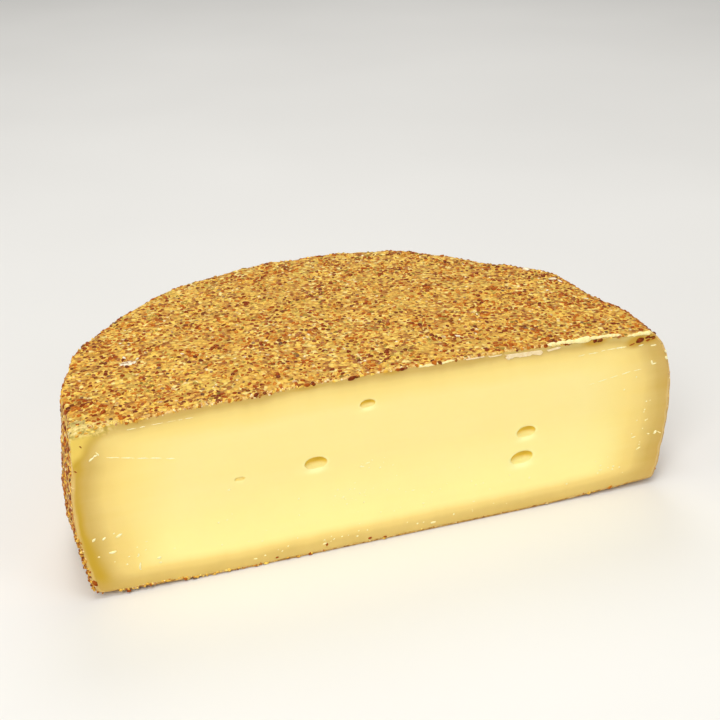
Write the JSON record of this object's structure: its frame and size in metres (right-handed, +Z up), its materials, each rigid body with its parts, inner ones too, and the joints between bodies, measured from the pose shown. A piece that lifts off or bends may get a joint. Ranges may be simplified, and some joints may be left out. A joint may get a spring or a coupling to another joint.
{
  "type": "half wheel of mustard cheese",
  "caption": "Half wheel of semi-hard cheese with small eyes, its domed top and bulging side coated in crushed mustard seed, cut straight down the middle.",
  "frame": {"origin": "bottom centre of the part's bounding box, on the surface it rests on", "axes": "+Z up out of the domed top, +X along the cut towards its right end, the cut face looks along -Y"},
  "size_m": [0.2684, 0.1506, 0.0833],
  "materials": {
    "mustard_coat": "yellow-ochre mustard paste over the rind, knobbly and satin",
    "mustard_seed": "crushed mustard seed, red-brown to near black with orange and olive husks, satin",
    "cheese_paste": "smooth pale yellow cheese, knife-cut and slightly oily, darker and amber towards the rind"
  },
  "bodies": {
    "root": {"cheese": "mustard_coat"}
  },
  "joints": []
}
